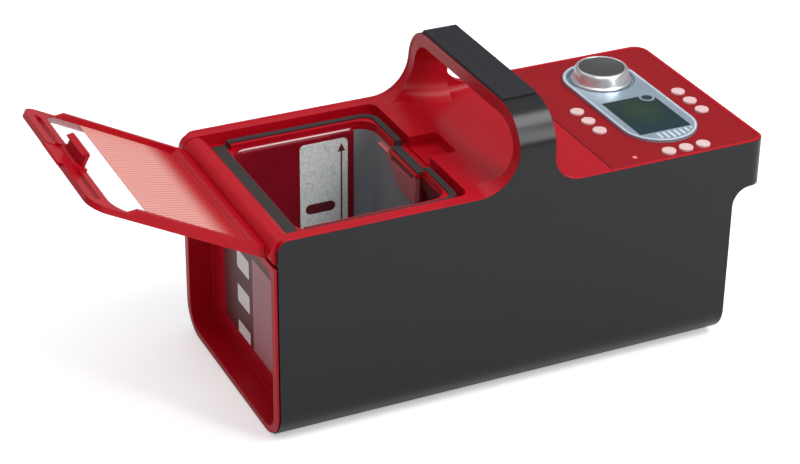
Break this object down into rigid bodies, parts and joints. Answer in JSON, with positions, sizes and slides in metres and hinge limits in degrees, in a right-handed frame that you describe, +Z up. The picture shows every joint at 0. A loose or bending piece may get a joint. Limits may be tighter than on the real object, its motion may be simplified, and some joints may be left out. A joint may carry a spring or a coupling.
{
  "type": "hot cold therapy machine",
  "caption": "Portable hot and cold therapy console with a flip-up reservoir lid, an arched carrying handle, a selector dial, push buttons and a recessed end wall.",
  "frame": {"origin": "middle of the flat base, on the surface that the machine stands on, at the middle of its plan", "axes": "+X along the length from the lid's hinge end to the console end, +Y to the far side, +Z up"},
  "size_m": [0.5475, 0.195, 0.237],
  "materials": {
    "charcoal": "charcoal moulded plastic, satin",
    "panel_red": "red moulded plastic, gloss",
    "overlay_red": "matte red sheet",
    "dark_red": "dark red printed film",
    "pale_panel": "pale printed panel",
    "label_bare": "bare label plate",
    "tub_grey": "grey moulded tank",
    "seal_grey": "grey rubber seal",
    "grip_rubber": "fine-textured rubber",
    "filter_pink": "translucent pink plastic",
    "silver": "satin silver paint",
    "display": "dark display window",
    "sensor": "dark round window",
    "clear": "clear window",
    "film": "dotted pink film",
    "light": "small light",
    "button": "pale pink translucent button",
    "knob_white": "pale grey moulded knob",
    "cap_grey": "spun grey disc",
    "steel": "plain steel",
    "board": "green circuit board",
    "black": "black moulding",
    "hose_black": "black hose",
    "air_clear": "milky air tube",
    "unit_grey": "grey motor casing",
    "valve_cream": "cream valve moulding",
    "foot_black": "black rubber"
  },
  "bodies": {
    "machine_body": {"outer_sleeve": "charcoal", "top_deck": "panel_red", "end_bezel": "panel_red", "end_label": "label_bare", "reservoir_tub": "tub_grey", "reservoir_label": "dark_red", "fill_panel": "pale_panel", "lid_gasket": "seal_grey", "intake_filter": "filter_pink", "handle_grip": "grip_rubber", "console_overlay": "overlay_red", "display_bezel": "silver", "display_window": "display", "sensor_window": "sensor", "status_light": "light", "display_module": "black", "switch_board": "board", "dial_encoder": "black", "chassis_plate": "black", "water_pump": "unit_grey", "air_compressor": "unit_grey", "valve_block": "valve_cream", "main_board": "board", "suction_hose": "hose_black", "pressure_hose": "hose_black", "air_tube": "air_clear", "hose_connector": "black", "power_inlet": "black", "hinge_pins": "steel", "foot_pads": "foot_black", "base_screws": "steel"},
    "lid": {"lid_frame": "panel_red", "lid_window": "clear", "lid_print": "film", "latch_pin": "steel"},
    "latch": {"lid_latch": "panel_red"},
    "dial": {"dial_knob": "knob_white", "dial_cap": "cap_grey", "dial_shaft": "steel"},
    "button_left_1": {"button_left_1": "button"},
    "button_left_2": {"button_left_2": "button"},
    "button_left_3": {"button_left_3": "button"},
    "button_right_1": {"button_right_1": "button"},
    "button_right_2": {"button_right_2": "button"},
    "button_right_3": {"button_right_3": "button"},
    "button_front_1": {"button_front_1": "button"},
    "button_front_2": {"button_front_2": "button"},
    "button_front_3": {"button_front_3": "button"}
  },
  "joints": [
    {"name": "lid_hinge", "type": "hinge", "parent": "machine_body", "child": "lid", "pos_m": [-0.1993, 0, 0.1632], "axis": [0, 1, 0], "range_deg": [0, 152]},
    {"name": "latch_pivot", "type": "hinge", "parent": "lid", "child": "latch", "pos_m": [-0.32497, 0, 0.22187], "axis": [0, 1, 0], "range_deg": [0, 12], "stiffness_Nm_per_rad": 0.05, "springref_deg": -17.19},
    {"name": "dial_turn", "type": "hinge", "parent": "machine_body", "child": "dial", "pos_m": [0.141, 0.0485, 0.174], "axis": [0, 0, 1], "continuous": true},
    {"name": "button_left_1_press", "type": "slide", "parent": "machine_body", "child": "button_left_1", "axis": [0, 0, -1], "range_m": [0, 0.001], "stiffness_N_per_m": 600, "springref_m": -0.0008},
    {"name": "button_left_2_press", "type": "slide", "parent": "machine_body", "child": "button_left_2", "axis": [0, 0, -1], "range_m": [0, 0.001], "stiffness_N_per_m": 600, "springref_m": -0.0008},
    {"name": "button_left_3_press", "type": "slide", "parent": "machine_body", "child": "button_left_3", "axis": [0, 0, -1], "range_m": [0, 0.001], "stiffness_N_per_m": 600, "springref_m": -0.0008},
    {"name": "button_right_1_press", "type": "slide", "parent": "machine_body", "child": "button_right_1", "axis": [0, 0, -1], "range_m": [0, 0.001], "stiffness_N_per_m": 600, "springref_m": -0.0008},
    {"name": "button_right_2_press", "type": "slide", "parent": "machine_body", "child": "button_right_2", "axis": [0, 0, -1], "range_m": [0, 0.001], "stiffness_N_per_m": 600, "springref_m": -0.0008},
    {"name": "button_right_3_press", "type": "slide", "parent": "machine_body", "child": "button_right_3", "axis": [0, 0, -1], "range_m": [0, 0.001], "stiffness_N_per_m": 600, "springref_m": -0.0008},
    {"name": "button_front_1_press", "type": "slide", "parent": "machine_body", "child": "button_front_1", "axis": [0, 0, -1], "range_m": [0, 0.001], "stiffness_N_per_m": 600, "springref_m": -0.0008},
    {"name": "button_front_2_press", "type": "slide", "parent": "machine_body", "child": "button_front_2", "axis": [0, 0, -1], "range_m": [0, 0.001], "stiffness_N_per_m": 600, "springref_m": -0.0008},
    {"name": "button_front_3_press", "type": "slide", "parent": "machine_body", "child": "button_front_3", "axis": [0, 0, -1], "range_m": [0, 0.001], "stiffness_N_per_m": 600, "springref_m": -0.0008}
  ]
}
